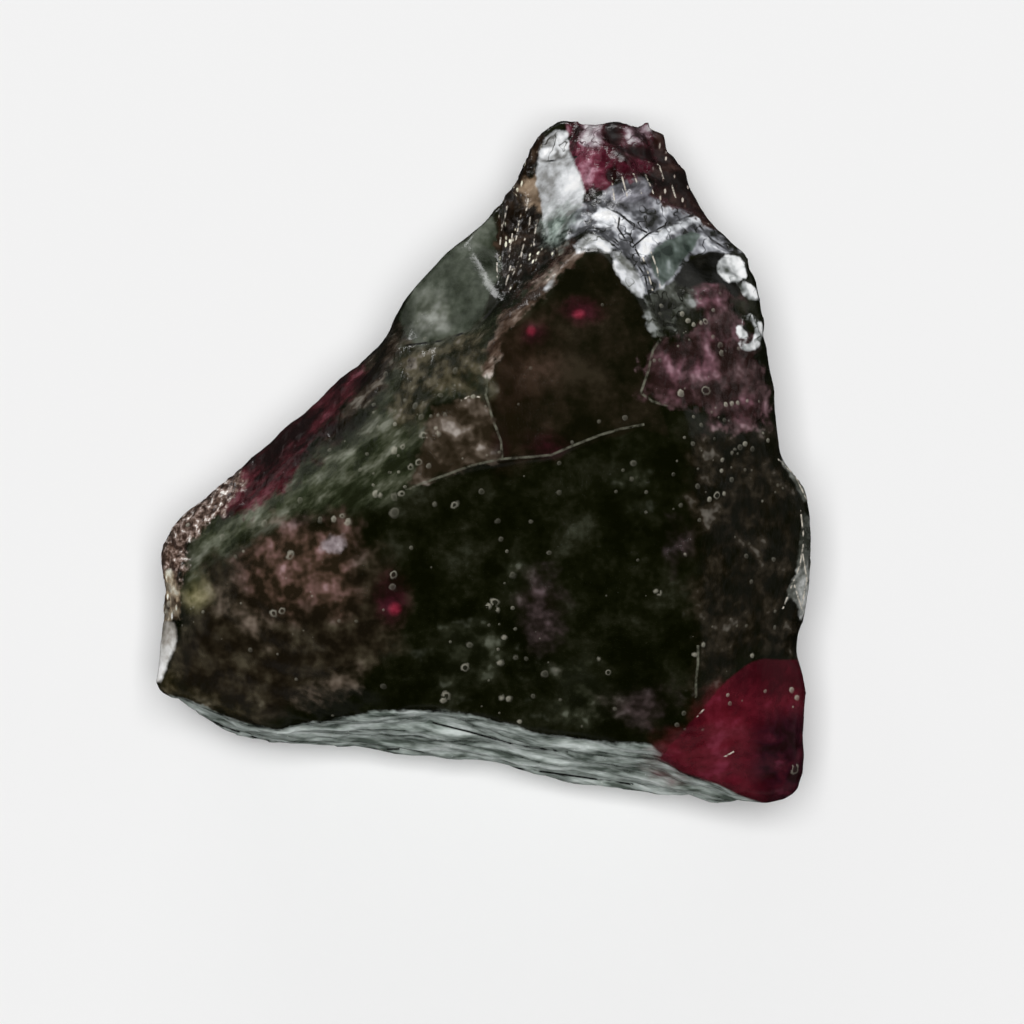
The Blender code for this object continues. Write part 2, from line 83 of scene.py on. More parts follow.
PATCHES = [
    Patch("grey_shade", 0.4, 0.4, "mottle", 0.16, 0.05, "#0f1106 #181a0e #2d2f22 #5a5d50", spots=[
        (514, 576, 9, 12), (452, 672, 24, 16), (480, 645, 34, 22), (631, 478, 10, 22), (556, 668, 18, 8),
        (600, 700, 40, 20), (502, 636, 12, 10), (720, 600, 20, 30)]),
    Patch("mauve_shade", 0.4, 0.3, "mottle", 0.16, 0.05, "#17120c #2a2220 #463a3a #6a5a5e", spots=[
        (541, 616, 16, 28), (681, 541, 8, 12), (640, 705, 22, 16)]),
    Patch("olive_side", 0.35, 0.4, "mottle", 0.18, 0.1, "#0c0c03 #171309 #2e281e #67625a", [[
        (686, 436), (705, 430), (735, 432), (765, 425), (774, 444), (781, 462), (806, 500), (812, 560),
        (806, 640), (800, 660), (760, 652), (740, 664), (722, 682), (706, 700), (697, 690), (698, 620),
        (694, 520), (688, 470)]]),
    Patch("raised_face", 0.05, 0.06, "cloud", 0.15, 0.02, "#0e0e04 #161409 #201b11 #2e281d", [[
        (490, 330), (505, 320), (535, 297), (560, 273), (580, 254), (601, 253), (622, 277), (640, 305),
        (652, 331), (650, 360), (641, 392), (660, 405), (672, 440), (641, 428), (600, 441), (550, 458),
        (503, 463), (492, 420), (486, 370)]]),
    Patch("rust_stain", 0.6, 0.4, "cloud", 0.17, 0.05, "#1a1308 #241a11 #32261c #43342b", [[
        (492, 338), (522, 312), (542, 350), (538, 400), (522, 448), (503, 460), (492, 410)]]),
    Patch("green_band", 0.3, 0.25, "brushed", 0.2, 0.15, "#1b1f10 #2c3120 #494c3c #76786a", [[
        (183, 592), (186, 545), (212, 522), (256, 494), (313, 456), (352, 432), (380, 400), (400, 345),
        (440, 341), (475, 329), (505, 300), (535, 275), (560, 258), (580, 254), (535, 297), (492, 335),
        (486, 370), (484, 397), (430, 404), (424, 440), (406, 482), (380, 505), (340, 516), (290, 524),
        (240, 548), (205, 590)]]),
    Patch("olive_crown", 0.3, 0.3, "mottle", 0.22, 0.3, "#1a1b0c #332f20 #544e3c #857e74", [[
        (392, 350), (440, 342), (475, 330), (492, 345), (486, 372), (484, 396), (430, 402), (415, 430),
        (396, 420)]]),
    Patch("pale_streak", 0.2, 0.2, "brushed", 0.22, 0.15, "#2e3423 #474b39 #6c7060 #8c8f80", [[
        (200, 552), (206, 536), (240, 517), (300, 487), (335, 462), (352, 452), (340, 482), (290, 508),
        (240, 530), (212, 560)]]),
    Patch("brown_shelf", 0.07, 0.1, "mottle", 0.18, 0.1, "#272015 #3b3227 #61564b #a59c94", [[
        (409, 487), (424, 440), (432, 406), (458, 400), (486, 398), (494, 420), (503, 461), (470, 468)]]),
    Patch("smooth_green_facet", 0.04, 0.03, "cloud", 0.2, 0.03, "#1e2417 #343a2e #4a5044 #6c7166", [[
        (398, 318), (405, 303), (420, 280), (440, 258), (470, 236), (492, 216), (500, 240), (503, 272),
        (492, 290), (480, 318), (470, 330), (440, 338), (420, 345), (408, 338)]]),
    Patch("ashen_spot", 0.3, 0.3, "mottle", 0.25, 0.1, "#45493c #63675b #7d8077 #9b9e96", [[
        (410, 318), (425, 304), (440, 306), (446, 320), (436, 334), (420, 338), (412, 332)]]),
    Patch("umber_edge", 0.2, 0.3, "brushed", 0.22, 0.3, "#120e05 #20180f #3c3329 #7c766c", [[
        (230, 512), (262, 486), (300, 460), (330, 425), (350, 385), (380, 345), (395, 322), (404, 345),
        (388, 385), (356, 424), (316, 455), (256, 496)]]),
    Patch("magenta_edge", 0.15, 0.2, "brushed", 0.22, 0.3, "#180908 #301114 #4c1b22 #744049", [[
        (200, 500), (235, 466), (289, 415), (345, 365), (362, 350), (364, 380), (343, 408), (322, 436),
        (300, 462), (290, 484), (270, 500), (250, 508), (225, 514)]], through=True),
    Patch("granular_rim", 0.1, 0.15, "grit", 0.3, 0.8, "#382821 #665247 #a38f86 #fff9f2", [[
        (150, 552), (166, 536), (200, 500), (236, 464), (246, 476), (232, 500), (205, 524), (188, 546),
        (182, 575), (178, 600), (150, 600)]]),
    Patch("left_lobe", 0.4, 0.5, "mottle", 0.17, 0.08, "#17120a #241e14 #363024 #4a4436", [[
        (188, 604), (215, 560), (260, 540), (300, 528), (350, 530), (380, 560), (400, 600), (390, 640),
        (360, 676), (300, 708), (250, 720), (200, 700), (175, 690), (180, 640)]]),
    Patch("mauve_lobe", 0.5, 0.35, "mottle", 0.18, 0.1, "#261e13 #48372c #715650 #a18484", [[
        (246, 560), (262, 535), (300, 522), (345, 520), (354, 545), (350, 580), (334, 604), (290, 610),
        (262, 600)]]),
    Patch("lilac_glint", 0.08, 0.08, "cloud", 0.2, 0.1, "#6e6264 #968a8c #bcb4b6 #e6e4e8", [[
        (322, 545), (330, 536), (342, 537), (346, 545), (342, 553), (330, 552)]]),
    Patch("tan_streaks", 0.25, 0.15, "mottle", 0.2, 0.15, "#241f15 #3e362b #5f5348 #7a6e62", [[
        (212, 590), (225, 596), (250, 612), (266, 632), (268, 642), (258, 640), (240, 622), (218, 606)], [
        (296, 700), (312, 690), (340, 680), (356, 670), (357, 679), (330, 694), (305, 707)]]),
    Patch("mustard_spot", 0.3, 0.2, "cloud", 0.2, 0.1, "#4c4a2b #706b4a #938c6b #b1ab92", spots=[
        (194, 595, 9, 11)]),
    Patch("dark_foot", 0.3, 0.2, "mottle", 0.16, 0.05, "#18160b #2b2616 #4d4635 #8a8271", [[
        (160, 686), (172, 672), (186, 690), (210, 700), (250, 712), (230, 718), (196, 706), (166, 698)]]),
    Patch("mauve_face", 0.1, 0.2, "mottle", 0.24, 0.4, "#231613 #372726 #544041 #836e70", [[
        (641, 392), (646, 366), (653, 343), (672, 337), (685, 338), (700, 326), (700, 294), (710, 282),
        (726, 286), (735, 305), (740, 322), (758, 350), (766, 372), (769, 401), (758, 424), (736, 432),
        (717, 418), (688, 407), (664, 405)]]),
    Patch("mauve_bloom", 0.35, 0.4, "mottle", 0.22, 0.35, "#331f20 #4f3338 #7b5560 #b28d98", spots=[
        (678, 388, 12, 9), (714, 297, 11, 9), (722, 336, 13, 8), (739, 414, 15, 11), (702, 364, 15, 12),
        (662, 372, 8, 11)]),
    Patch("dark_shoulder", 0.05, 0.05, "cloud", 0.15, 0.03, "#060601 #0a0a06 #15140f #2a2a26", [[
        (670, 281), (684, 263), (700, 253), (718, 249), (736, 257), (742, 290), (736, 300), (722, 284),
        (704, 282), (686, 291)]]),
    # The lower flank: the grey-green of its fibrous broken face, made pale by a painted reflection of the
    # bright floor.
    Patch("lower_flank", 0.05, 0.05, "fibre", 0.24, 0.1, "#566058 #939d96 #b6c0ba #dce4e0", [[
        (150, 696), (180, 697), (200, 706), (225, 716), (250, 726), (275, 730), (300, 725), (345, 718),
        (370, 712), (400, 711), (440, 711), (480, 718), (540, 735), (600, 742), (650, 745), (662, 755),
        (680, 772), (718, 784), (740, 795), (760, 803), (760, 830), (150, 830)]], through=True),
    Patch("red_corner", 0.03, 0.02, "cloud", 0.14, 0.03, "#380a12 #480f19 #571621 #702436", [[
        (660, 758), (675, 741), (690, 723), (708, 702), (725, 682), (745, 665), (762, 659), (798, 660),
        (830, 665), (830, 830), (762, 830), (762, 803), (741, 796), (718, 784), (681, 772)]], through=True),
    Patch("crimson_glow", 0.5, 0.3, "cloud", 0.14, 0.03, "#490d17 #57121c #641a27 #782a3c", spots=[
        (694, 752, 26, 17), (724, 728, 22, 26)]),
    Patch("wine_shade", 0.3, 0.2, "mottle", 0.14, 0.05, "#1d0709 #2b0e17 #3b121b #53202f", [[
        (756, 730), (776, 716), (830, 712), (830, 830), (790, 830), (768, 802), (756, 772)]], through=True),
    Patch("cream_chips", 0.08, 0.1, "spark", 0.35, 1.0, "#514030 #ae9d84 #ffffee #ffffff", [[
        (150, 574), (176, 574), (181, 598), (178, 620), (150, 622)]], through=True),
    # Thin clear slivers at the left and right edges: their pale tones are painted light shining through them.
    Patch("left_sliver", 0.04, 0.03, "cloud", 0.2, 0.05, "#7a756c #afaaa3 #d8d7d4 #fbfbfb", [[
        (150, 620), (175, 622), (178, 636), (172, 654), (166, 670), (161, 682), (150, 682)]], through=True),
    Patch("right_slivers", 0.03, 0.04, "cloud", 0.2, 0.2, "#2c2e27 #5c5e58 #9c9e9a #e4e4e4", [[
        (803, 512), (815, 520), (815, 575), (808, 612), (800, 622), (797, 606), (790, 597), (784, 608),
        (787, 590), (795, 572), (799, 540)]], through=True),
    Patch("right_crescent", 0.03, 0.03, "cloud", 0.2, 0.1, "#41433c #72746e #a3a5a2 #d9d9d9", [[
        (779, 460), (786, 458), (799, 474), (812, 496), (804, 502), (794, 483)]], through=True),
    Patch("ember_band", 0.12, 0.25, "brushed", 0.22, 0.4, "#180e09 #291a13 #48372f #857468", [[
        (566, 240), (576, 232), (580, 242), (562, 264), (536, 288), (508, 310), (498, 304), (522, 282),
        (548, 258)]]),
    Patch("brown_strip", 0.08, 0.2, "spark", 0.3, 0.8, "#140e07 #241910 #4a3c30 #fffee6", [[
        (500, 270), (497, 228), (504, 190), (519, 160), (534, 134), (548, 118), (548, 130), (538, 160),
        (534, 180), (540, 206), (546, 239), (556, 250), (545, 262), (530, 274), (509, 294), (500, 298)]]),
    Patch("tan_patch", 0.1, 0.15, "mottle", 0.25, 0.5, "#574736 #7f6b57 #a5917b #d4c4aa", [[
        (520, 190), (526, 178), (538, 176), (544, 196), (545, 214), (536, 212), (528, 202)]]),
    Patch("ridge_band", 0.06, 0.12, "brushed", 0.25, 0.25, "#31241b #58483d #928378 #e6dcd4", [[
        (577, 249), (583, 253), (566, 273), (540, 298), (514, 322), (501, 345), (493, 374), (485, 374),
        (487, 345), (499, 318), (530, 289), (556, 266)]]),
    Patch("smoky_facet", 0.1, 0.2, "crackle", 0.22, 0.3, "#15160f #282a22 #50534c #959896", [[
        (646, 290), (660, 286), (674, 281), (690, 290), (692, 312), (676, 330), (656, 336), (650, 318)]]),
    # The silver facet: grey fracture colour, made pale by a painted reflection of the light it faces, with
    # painted highlights on its brightest patches.
    Patch("silver_facet", 0.05, 0.06, "crackle", 0.2, 0.35, "#1d1e1a #57585c #a6a8ae #f4f6fa", [[
        (566, 238), (566, 225), (574, 210), (583, 203), (592, 199), (606, 188), (627, 180), (646, 176),
        (653, 196), (672, 206), (691, 212), (704, 220), (720, 233), (738, 253), (725, 252), (716, 250),
        (701, 254), (690, 256), (685, 264), (672, 281), (660, 288), (646, 294), (637, 276), (627, 263),
        (618, 254), (611, 244), (598, 236), (586, 232), (576, 236)]]),
    Patch("silver_lilac", 0.2, 0.15, "brushed", 0.2, 0.3, "#39373b #67666c #9a99a1 #dcdce2", [[
        (606, 196), (622, 184), (644, 178), (658, 196), (650, 206), (626, 206), (612, 206)]]),
    Patch("silver_bright", 0.06, 0.08, "crackle", 0.2, 0.3, "#9a9ca0 #cdd0d4 #f2f4f8 #ffffff", [[
        (637, 250), (644, 239), (660, 230), (684, 219), (701, 213), (706, 220), (686, 227), (664, 238),
        (648, 250), (640, 258)], [
        (592, 216), (600, 208), (610, 207), (617, 214), (620, 226), (610, 229), (600, 225)]]),
    Patch("green_glaze", 0.04, 0.05, "mottle", 0.15, 0.05, "#27312b #46514a #68736e #98a09f", [[
        (648, 258), (656, 247), (670, 239), (690, 231), (700, 234), (694, 248), (682, 262), (671, 278),
        (662, 285), (654, 274)]]),
    Patch("knob", 0.06, 0.12, "mottle", 0.25, 0.5, "#1d0b0b #3a151b #66303d #b28c96", [[
        (567, 152), (569, 132), (572, 100), (650, 100), (680, 120), (694, 170), (720, 233), (704, 220),
        (691, 212), (672, 206), (655, 196), (646, 176), (627, 180), (606, 188), (592, 199), (587, 205),
        (582, 190), (576, 170)]]),
    Patch("knob_brown", 0.1, 0.25, "spark", 0.28, 0.12, "#120a07 #24120e #44302a #cfc6ba", [[
        (650, 100), (680, 120), (694, 170), (722, 236), (704, 221), (688, 211), (668, 202), (653, 192),
        (648, 172), (656, 160), (652, 140)]]),
    # Painted shade: the knob's crevices, darkened where shade falls in them.
    Patch("knob_crevice", 0.1, 0.15, "mottle", 0.3, 0.1, "#100806 #1e0d0c #361e1e #66464a", [[
        (603, 100), (624, 100), (622, 140), (613, 148), (606, 136)], [
        (614, 150), (640, 144), (656, 152), (650, 160), (630, 158), (616, 160)]]),
    Patch("knob_rose", 0.12, 0.15, "cloud", 0.25, 0.5, "#330d15 #521a29 #783a4a #c898a8", [[
        (569, 150), (580, 141), (600, 145), (614, 152), (612, 167), (600, 178), (588, 190), (581, 184),
        (575, 168)], [
        (616, 166), (640, 160), (652, 166), (640, 176), (620, 176)]]),
    Patch("knob_frost", 0.08, 0.12, "crackle", 0.3, 0.7, "#241414 #573f46 #948088 #cec7ca", [[
        (579, 128), (588, 122), (598, 126), (603, 138), (597, 150), (587, 150), (580, 142)], [
        (626, 129), (635, 124), (646, 128), (650, 138), (640, 144), (630, 140)]]),
    # The white chip, its crackle and foot, and the chipped arch: pale fracture colour, brightened to white by a
    # painted reflection of the light they face.
    Patch("white_chip", 0.04, 0.04, "cloud", 0.2, 0.05, "#8c8c8a #c2c4c6 #eceef0 #ffffff", [[
        (548, 135), (556, 130), (566, 132), (568, 148), (573, 160), (580, 176), (585, 192), (582, 204),
        (573, 214), (562, 232), (553, 239), (546, 237), (544, 225), (541, 203), (537, 184), (536, 170),
        (540, 152)]]),
    Patch("chip_crackle", 0.04, 0.05, "crackle", 0.25, 0.3, "#383631 #868684 #dadcde #ffffff", [[
        (540, 152), (546, 137), (556, 131), (567, 134), (569, 150), (566, 158), (552, 161), (539, 163)]]),
    Patch("chip_foot", 0.25, 0.15, "cloud", 0.2, 0.1, "#54635a #b9c8bf #ffffff #ffffff", [[
        (545, 224), (556, 212), (568, 212), (576, 214), (566, 228), (556, 242), (546, 242)]]),
    Patch("chipped_arch", 0.05, 0.06, "crackle", 0.25, 0.15, "#6a6c66 #b2b4b5 #e6e8ec #ffffff", [[
        (575, 245), (585, 234), (598, 235), (612, 243), (610, 251), (597, 249), (584, 249), (577, 253)], [
        (613, 252), (620, 250), (628, 258), (638, 272), (644, 288), (643, 298), (635, 296), (624, 284),
        (616, 269)], [
        (544, 289), (552, 275), (557, 275), (552, 286), (546, 292)]]),
    # Painted glints: white curls where shell-like chips catch the light, with dark outlines.
    Patch("shell_chips", 0.03, 0.05, "crackle", 0.2, 0.15, "#42463f #a0a3a3 #eceeee #ffffff", [[
        (717, 262), (726, 255), (737, 256), (744, 264), (746, 276), (738, 283), (725, 280), (716, 270)], [
        (736, 284), (745, 282), (755, 290), (757, 300), (750, 301), (742, 294)], [
        (741, 317), (752, 315), (761, 323), (763, 338), (756, 350), (744, 352), (738, 343), (748, 345),
        (755, 338), (755, 327), (749, 321)], [
        (737, 326), (742, 326), (747, 333), (748, 340), (742, 338), (737, 332)]]),
    # Painted glow: small red spots and their dim halos, where red light shines out from inside the stone.
    Patch("ember_halo", 0.25, 0.08, "cloud", 0.17, 0.05, "#180d09 #240f10 #36141b #4c1f2a", spots=[
        (582, 310, 15, 10), (533, 334, 9, 8), (546, 446, 15, 9), (500, 447, 6, 10), (392, 598, 14, 22)]),
    Patch("embers", 0.09, 0.0, "cloud", 0.17, 0.05, "#4a1020 #6a182a #8c2c3e #b84c60", spots=[
        (531, 331, 3, 3), (579, 314, 4, 3), (395, 609, 5, 5)]),
]

# Thin lines on the drawing: pale chipped edges, painted white glints (highlights) along edges, and dark cracks,
# one of them a painted shadow.
PALE_LINES = [
    [(409, 489), (420, 484), (440, 477), (470, 466), (500, 459), (530, 457), (551, 455)],
    [(556, 453), (572, 446), (600, 435), (620, 429), (641, 425)],
    [(487, 376), (486, 396), (493, 420), (501, 441), (502, 456)],
    [(698, 648), (698, 664), (696, 680), (696, 696)], [(641, 393), (652, 401), (664, 405)],
    [(641, 392), (648, 372), (653, 350), (660, 340)],
]
GLINTS = [
    [(462, 400), (470, 396), (480, 397)], [(612, 179), (614, 197)], [(622, 177), (627, 195)],
    [(634, 175), (640, 190)], [(646, 176), (652, 190)], [(643, 258), (648, 272), (652, 288)],
    [(651, 252), (657, 268), (660, 286)], [(502, 226), (500, 244)], [(507, 206), (504, 222)],
    [(512, 236), (509, 256)], [(519, 222), (516, 240)], [(525, 238), (521, 256)], [(530, 218), (529, 230)],
    [(510, 268), (506, 284)], [(519, 258), (514, 272)], [(528, 200), (526, 212)], [(536, 226), (534, 244)],
    [(497, 262), (497, 276)], [(660, 168), (663, 178)], [(672, 186), (675, 196)],
    [(801, 514), (804, 540), (800, 565), (792, 585), (784, 606)], [(794, 584), (799, 600), (804, 614)],
    [(803, 556), (807, 580), (802, 604)], [(780, 461), (795, 475), (806, 498)], [(726, 756), (733, 752)],
    [(703, 710), (698, 716)], [(545, 282), (554, 275)],
]
DARK_LINES = [
    [(537, 163), (549, 161), (560, 160), (575, 157)], [(586, 222), (600, 231), (616, 243), (634, 256)],
    [(634, 246), (648, 234), (668, 224), (690, 216)], [(636, 250), (642, 262), (648, 276), (653, 290)],
    [(700, 226), (712, 240), (728, 250)],
    [(402, 346), (440, 341), (475, 329), (500, 301), (530, 275), (556, 253)],
    # A painted shadow: the dark line along the outside of the arch, drawn and sunk like a crack.
    [(573, 233), (586, 227), (602, 229), (616, 240), (632, 256), (645, 276), (650, 300)],
    [(604, 206), (620, 214), (634, 226), (646, 232)], [(620, 214), (618, 228), (626, 240)],
    [(196, 711), (222, 726), (262, 740), (300, 745), (352, 750), (396, 749)],
    [(430, 722), (470, 732), (520, 746), (566, 752)], [(500, 766), (560, 774), (630, 784)],
]

# Bubbles and specks on the drawing: across, down and radius, each drawn as a pale painted highlight where light
# catches its rim. Rings are cut open by the surface.
BUBBLES = {
    "ring": [
        (290, 556, 5), (274, 614, 5), (282, 611, 4), (466, 667, 5), (454, 506, 6), (660, 594, 5),
        (705, 390, 5), (795, 768, 6), (393, 575, 4), (402, 494, 5), (410, 467, 4), (419, 462, 4),
        (424, 435, 5), (403, 447, 4), (495, 603, 5), (446, 696, 6), (706, 322, 4), (599, 659, 4),
        (342, 516, 5), (717, 496, 4), (608, 672, 3),
    ],
    "bright": [
        (394, 451, 5), (376, 493, 5), (381, 495, 4), (347, 523, 6), (334, 519, 4), (437, 433, 5),
        (436, 428, 4), (488, 607, 5), (497, 610, 4), (500, 662, 5), (504, 638, 4), (502, 698, 6),
        (508, 699, 5), (656, 591, 4), (681, 393, 4), (722, 460, 3), (722, 471, 3), (726, 405, 3),
        (732, 404, 3), (738, 403, 3), (747, 401, 3), (695, 655, 4), (703, 645, 4), (792, 690, 3),
        (797, 698, 3), (793, 707, 2), (752, 656, 3), (728, 695, 2), (685, 554, 3), (520, 722, 4),
        (768, 440, 3), (763, 433, 3), (473, 397, 4), (395, 424, 4), (793, 766, 2), (682, 314, 3),
        (688, 321, 3), (694, 325, 3), (701, 323, 3), (745, 444, 3), (709, 500, 3), (724, 494, 3),
        (172, 590, 3), (169, 604, 4), (174, 612, 3), (188, 525, 3), (443, 700, 4),
    ],
    "dim": [
        (394, 497, 6), (415, 406, 4), (321, 519, 4), (265, 524, 4), (222, 538, 4), (374, 405, 3),
        (455, 371, 4), (425, 339, 3), (385, 374, 3), (392, 587, 4), (293, 634, 3), (339, 621, 3),
        (356, 621, 3), (516, 657, 4), (615, 709, 3), (634, 463, 4), (632, 479, 4), (549, 553, 3),
        (501, 539, 3), (531, 522, 4), (481, 491, 3), (677, 725, 3), (684, 713, 3), (559, 463, 3),
        (572, 443, 3), (599, 422, 3), (395, 513, 6), (421, 417, 4), (445, 415, 3), (423, 403, 3),
        (698, 486, 3), (704, 456, 4), (694, 444, 3), (778, 485, 3), (783, 488, 3), (774, 560, 3),
        (775, 628, 3), (746, 626, 3), (751, 582, 3), (746, 556, 3), (740, 447, 3), (752, 449, 3),
        (235, 557, 4), (250, 650, 3), (470, 645, 4), (533, 696, 4), (560, 700, 3), (512, 574, 5),
        (625, 418, 3), (556, 670, 5), (545, 673, 5), (700, 520, 3), (732, 480, 3), (745, 470, 3),
        (460, 385, 3), (440, 395, 3), (360, 470, 3), (330, 450, 3), (300, 500, 3), (700, 300, 3),
        (720, 345, 3), (660, 360, 3), (712, 412, 3),
    ],
}
# How brightly each kind's painted highlight shows and how hollow it is, from 0 to 1. They are drawn too large.
BUBBLE_KINDS = {"ring": (0.55, 0.95), "bright": (0.7, 0.3), "dim": (0.24, 0.5)}
BUBBLE_SCALE = 0.85

# Where small specks crowd: across, down and spread on the drawing, and how many lie there.
CROWDS = [
    (470, 650, 40, 12), (425, 430, 28, 14), (398, 470, 16, 6), (715, 470, 24, 16), (702, 330, 18, 6),
    (700, 380, 24, 8), (290, 590, 40, 8), (640, 480, 20, 4), (740, 690, 22, 4), (190, 600, 10, 4),
    (600, 600, 90, 8),
]
# Their radii, in drawing steps for the crowds and in mm for the strays, and how bright and hollow they are.
CROWD_RADII, CROWD_LOOKS = (1.2, 2.8), (0.12, 0.5)
STRAY_SPECKS, STRAY_RADII, STRAY_LOOKS = 160, (0.02, 0.06), (0.1, 0.4)
SPECK_SEED = 11

# Patches that don't go through end about this high, in a wavy fade, in mm.
FADE_HEIGHT, FADE_WAVE, FADE_DEPTH = 3.0, 0.3, 0.8

# Roughness and grain of the body, between the patches.
PLAIN_ROUGH, PLAIN_GRAIN = 0.15, 0.03

# A line marks the faces within its reach of it, and spares this much past its ends, in drawing steps.
LINE_REACH, LINE_SPARE = 6.0, 2.0

# How far the skin rises along a pale edge and sinks along a crack, and how wide, in mm.
EDGE_RISE, EDGE_WIDTH = 0.012, 0.05
CRACK_DEPTH, CRACK_WIDTH = 0.04, 0.06

# Patches at least this grainy get carved grains, and the skin within this height of the floor isn't carved.
GRAINS_FROM, RESTING_BELOW = 0.12, 0.03

# Fixes the tilts of the facets, which noise.noise_vector otherwise draws anew in each run.
FACET_SEED = 7

# Makes a MapRange node ease in and out.
SMOOTH = {"interpolation_type": "SMOOTHSTEP"}


def to_linear(code):
    """An sRGB hex colour as linear RGBA."""
    parts = [int(code[i:i + 2], 16) / 255 for i in (1, 3, 5)]
    return tuple(p / 12.92 if p <= 0.04045 else ((p + 0.055) / 1.055) ** 2.4 for p in parts) + (1.0,)


def swatch(name, description, code):
    """A colour of the panel."""
    return bpy.props.FloatVectorProperty(
        name=name, description=description, subtype="COLOR", size=4, min=0, max=1, default=to_linear(code)
    )


class PainiteSizes(bpy.types.PropertyGroup):
    """Sizes of the skin and its relief."""

    skin: bpy.props.FloatProperty(
        name="Skin grid", description="Grid of the fine skin, in mm", default=0.086, min=0.05, max=0.3
    )
    chips: bpy.props.FloatProperty(
        name="Chips", description="Height of the fine chips on broken faces, in mm", default=0.012
    )
    grains: bpy.props.FloatProperty(
        name="Grains", description="Height of the grains on rough faces, in mm", default=0.09
    )
    grooves: bpy.props.FloatProperty(
        name="Grooves", description="Height of the fibres on the lower flank, in mm", default=0.09
    )


class PainiteColours(bpy.types.PropertyGroup):
    """Colours of the body of the crystal, under the patches, and of its edges and cracks, and the painted
    highlights of its bubbles and glints.
    """

    deep: swatch("Deep", "Darkest clouds of the body", "#090b01")
    body: swatch("Body", "Olive black of the body", "#101205")
    haze: swatch("Haze", "Light clouds of the body", "#1d1e12")
    mist: swatch("Mist", "Lightest clouds of the body", "#34362a")
    edge: swatch("Edge", "Pale chipped edges", "#6e6e60")
    # Painted highlight: the colour of the glint lines, where fresh thin edges catch the light.
    glint: swatch("Glint", "Fresh thin edges", "#d2cabc")
    # Dark cracks, and also the painted shadow line along the outside of the arch.
    crack: swatch("Crack", "Dark cracks", "#0e0e0a")
    # Painted highlight: the pale rims of bubbles and specks.
    bubble_glint: swatch("Bubble", "Rims of bubbles and specks", "#b8b4a4")


def add(tree, kind, inputs=(), take=0, **settings):
    """A new shader node with its settings, and with values or feeding sockets as its inputs. It gives the
    output asked for."""
    made = tree.nodes.new("ShaderNode" + kind)
    for name, value in settings.items():
        setattr(made, name, value)
    for name, value in inputs.items() if isinstance(inputs, dict) else enumerate(inputs):
        if isinstance(value, bpy.types.NodeSocket):
            tree.links.new(value, made.inputs[name])
        else:
            made.inputs[name].default_value = value
    return made.outputs[take]


def drawing_step(height):
    """Size of a drawing step in mm at a height in mm."""
    return STEP * (LENS_UP - height) / (LENS_UP - DRAWN_HEIGHT)


def on_drawing(x, y, heights):
    """Where drawing places lie, in mm, at heights in mm."""
    step = drawing_step(heights)
    return DRAWING_MIDDLE[0] + (x - DRAWING_HALF) * step, DRAWING_MIDDLE[1] - (y - DRAWING_HALF) * step


def drawing_place(points):
    """Where points, in mm, are seen on the drawing."""
    step = drawing_step(points[:, 2])
    return np.stack([
        DRAWING_HALF + (points[:, 0] - DRAWING_MIDDLE[0]) / step,
        DRAWING_HALF - (points[:, 1] - DRAWING_MIDDLE[1]) / step,
    ], axis=1)


def away_from_segment(seen, a, b):
    """Distance of each seen point from the segment ab, in drawing steps."""
    a, b = np.array(a, float), np.array(b, float)
    run = b - a
    t = np.clip(((seen - a) @ run) / (run @ run), 0, 1)
    return np.hypot(*(seen - (a + t[:, None] * run)).T)


def depth_inside(seen, patch):
    """Depth inside the patch's outlines or spots in mm, below 0 outside them."""
    depth = np.full(len(seen), -1e9)
    for outline in patch.outlines:
        nearest = np.full(len(seen), 1e9)
        inside = np.zeros(len(seen), bool)
        for (ax, ay), (bx, by) in zip(outline, outline[1:] + outline[:1]):
            nearest = np.minimum(nearest, away_from_segment(seen, (ax, ay), (bx, by)))
            if by != ay:
                spans = (ay > seen[:, 1]) != (by > seen[:, 1])
                inside ^= spans & (seen[:, 0] < (bx - ax) * (seen[:, 1] - ay) / (by - ay) + ax)
        depth = np.maximum(depth, np.where(inside, nearest, -nearest))
    for x, y, half_width, half_height in patch.spots:
        radius = np.hypot((seen[:, 0] - x) / half_width, (seen[:, 1] - y) / half_height)
        depth = np.maximum(depth, (1 - radius) * min(half_width, half_height))
    return depth * STEP


def away_from_lines(seen, lines):
    """Distance of each seen point from the nearest line, in mm."""
    segments = (pair for line in lines for pair in zip(line, line[1:]))
    return STEP * np.min([away_from_segment(seen, a, b) for a, b in segments], axis=0)


def nearest_line(seen, heights, lines):
    """The line that passes each seen place, as a, b and c, where a x + b y + c is the distance from it of a
    point at x, y in mm. It is 0, 0 and 1 where none passes."""
    found = np.tile((0.0, 0.0, 1.0), (len(seen), 1))
    nearest = np.full(len(seen), LINE_REACH)
    for line in lines:
        for a, b in zip(line, line[1:]):
            run = np.subtract(b, a).astype(float)
            length = np.hypot(*run)
            along = (seen - a) @ run / length
            away = away_from_segment(seen, a, b)
            closer = (away < nearest) & (along > -LINE_SPARE) & (along < length + LINE_SPARE)
            nearest[closer] = away[closer]
            across = run[::-1] / length
            found[closer, :2] = across
            found[closer, 2] = -across @ on_drawing(*a, heights[closer])
    return found


def cells(place, size, seed):
    """Rounded grains with sharp valleys between them, about -0.5 to 0.5."""
    near = noise.voronoi((place + Vector((seed, 0, 0))) / size)[0]
    return 0.5 - min(1.0, near[0] * 1.2)


def facets(place, size, seed):
    """Small flat faces, each tilted its own way, about -0.5 to 0.5."""
    centres = noise.voronoi((place + Vector((seed, 0, 0))) / size)[1]
    tilt = noise.noise_vector(centres[0] * 7.3)
    return max(-0.5, min(0.5, 1.6 * tilt.dot((place + Vector((seed, 0, 0))) / size - centres[0])))


